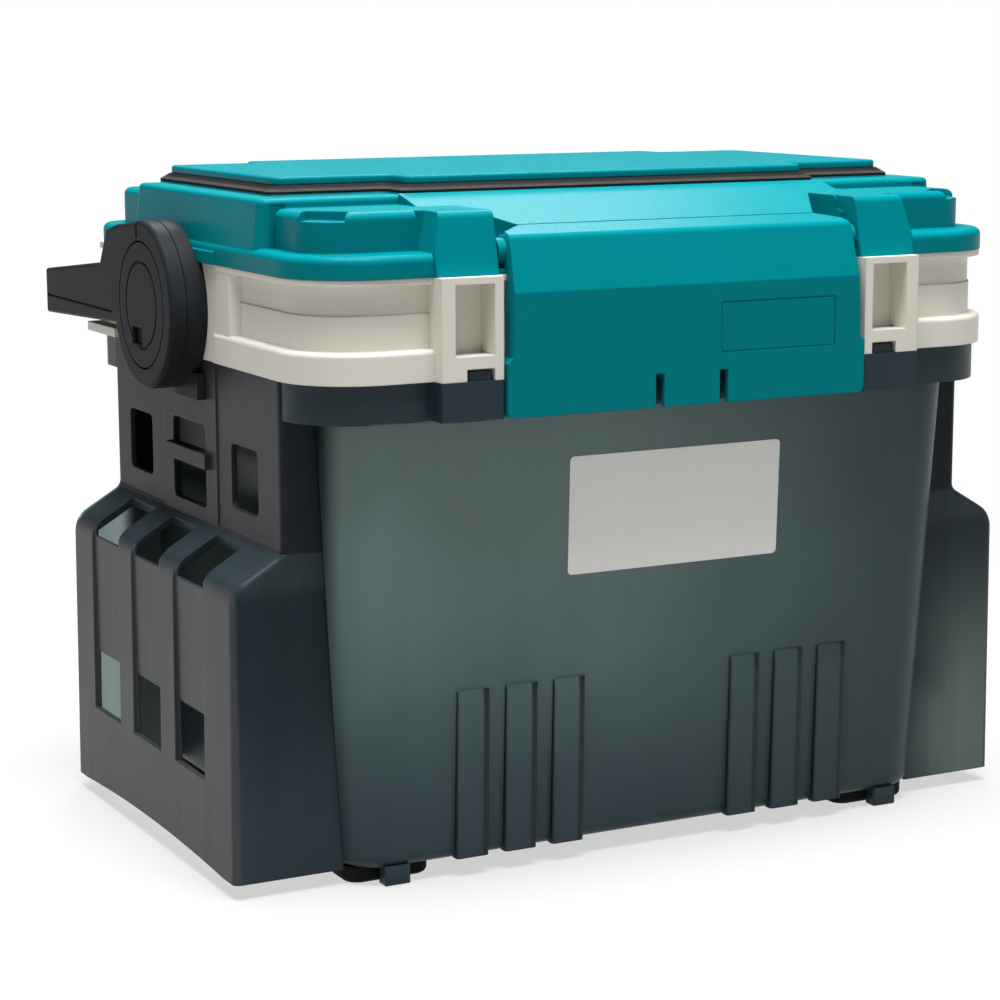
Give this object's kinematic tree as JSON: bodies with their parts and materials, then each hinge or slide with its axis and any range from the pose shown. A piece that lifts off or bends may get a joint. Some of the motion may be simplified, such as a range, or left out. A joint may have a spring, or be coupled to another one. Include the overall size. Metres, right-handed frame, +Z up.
{
  "type": "tackle box",
  "caption": "Fishing tackle box with flared side wings, hinged lid with lift-off hatch, wide front latch, swing handle and sliding tray.",
  "frame": {"origin": "on the ground under the middle of the side wings", "axes": "+X along the box, -Y towards the latch at the front, +Z up"},
  "size_m": [0.475, 0.353, 0.3616],
  "materials": {
    "smoke_polypropylene": "satin moulded polypropylene, slightly translucent smoke grey",
    "white_polypropylene": "satin moulded off-white polypropylene",
    "teal_polypropylene": "fine-textured moulded teal polypropylene",
    "charcoal_nylon": "matte moulded charcoal nylon",
    "clear_polypropylene": "natural milky polypropylene",
    "black_rubber": "moulded black rubber",
    "steel": "zinc-plated steel"
  },
  "bodies": {
    "case": {"tub": "smoke_polypropylene", "side_panel_left": "smoke_polypropylene", "side_panel_right": "smoke_polypropylene", "wing_left": "smoke_polypropylene", "wing_right": "smoke_polypropylene", "mid_frame": "white_polypropylene", "hub_base_left": "charcoal_nylon", "hub_base_right": "charcoal_nylon", "handle_pivot_left": "steel", "handle_pivot_right": "steel", "handle_nut_left": "steel", "handle_nut_right": "steel", "hinge_pin_left": "steel", "hinge_pin_right": "steel", "foot_front_left": "black_rubber", "foot_front_right": "black_rubber", "foot_rear_left": "black_rubber", "foot_rear_right": "black_rubber"},
    "lid_body": {"lid": "teal_polypropylene", "hatch_gasket": "black_rubber", "latch_pin": "steel"},
    "hatch": {"hatch_panel": "teal_polypropylene"},
    "latch": {"front_latch": "teal_polypropylene"},
    "handle": {"handle_arm_left": "charcoal_nylon", "handle_arm_right": "charcoal_nylon", "handle_grip": "charcoal_nylon", "hub_cover_left": "charcoal_nylon", "hub_cover_right": "charcoal_nylon"},
    "tray": {"inner_tray": "clear_polypropylene", "tray_divider_front": "clear_polypropylene", "tray_divider_rear": "clear_polypropylene"}
  },
  "joints": [
    {"name": "lid_hinge", "type": "hinge", "parent": "case", "child": "lid_body", "pos_m": [0, 0.1495, 0.3205], "axis": [-1, 0, 0], "range_deg": [0, 105]},
    {"name": "hatch_lift", "type": "slide", "parent": "lid_body", "child": "hatch", "axis": [0, 0, 1], "range_m": [0, 0.04]},
    {"name": "latch_hinge", "type": "hinge", "parent": "lid_body", "child": "latch", "pos_m": [0, -0.1605, 0.327], "axis": [-1, 0, 0], "range_deg": [0, 85]},
    {"name": "handle_swing", "type": "hinge", "parent": "case", "child": "handle", "pos_m": [0, 0.0125, 0.291], "axis": [1, 0, 0], "range_deg": [0, 90]},
    {"name": "tray_slide", "type": "slide", "parent": "case", "child": "tray", "axis": [1, 0, 0], "range_m": [0, 0.184]}
  ]
}
